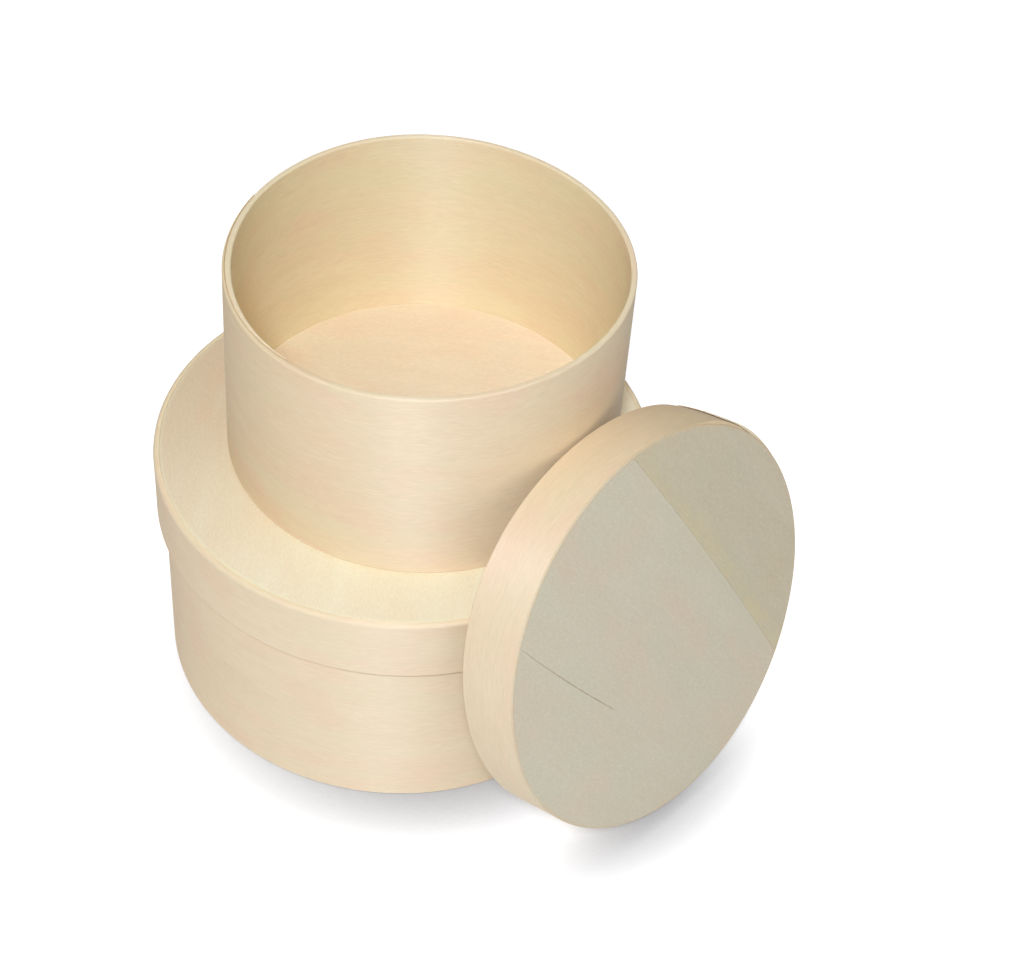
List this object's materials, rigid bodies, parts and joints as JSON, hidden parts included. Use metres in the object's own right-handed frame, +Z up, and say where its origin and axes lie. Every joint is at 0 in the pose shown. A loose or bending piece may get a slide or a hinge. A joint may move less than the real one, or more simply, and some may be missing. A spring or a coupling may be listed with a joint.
{
  "type": "cheese box",
  "caption": "Round bentwood cheese boxes with slip-over lids: a large box closed, a smaller box standing open on it, and the small lid leaning against them.",
  "frame": {"origin": "centre of the large box's underside, on the surface that it stands on", "axes": "+Z up along the large box's axis; +X points from the boxes at the leaning small lid"},
  "size_m": [0.2314, 0.1841, 0.179],
  "materials": {
    "band": "bare, sanded",
    "disc": "bare, sanded",
    "leaf_wide": "bare, sanded",
    "leaf_narrow": "bare, sanded"
  },
  "bodies": {
    "large_box": {"large_box_hoop": "band", "large_box_bottom": "disc"},
    "large_lid": {"large_lid_hoop": "band", "large_lid_top": "disc"},
    "small_box": {"small_box_hoop": "band", "small_box_bottom": "disc"},
    "small_lid": {"small_lid_hoop": "band", "small_lid_top": "disc", "small_lid_leaf_wide": "leaf_wide", "small_lid_leaf_narrow": "leaf_narrow"}
  },
  "joints": [
    {"name": "large_lid_lift", "type": "slide", "parent": "large_box", "child": "large_lid", "axis": [0, 0, 1], "range_m": [0, 0.06]},
    {"name": "small_box_lift", "type": "slide", "parent": "large_lid", "child": "small_box", "axis": [0, 0, 1], "range_m": [0, 0.06]},
    {"name": "small_lid_pull", "type": "slide", "parent": "large_lid", "child": "small_lid", "axis": [0.9588, 0, 0.284], "range_m": [0, 0.06]}
  ]
}
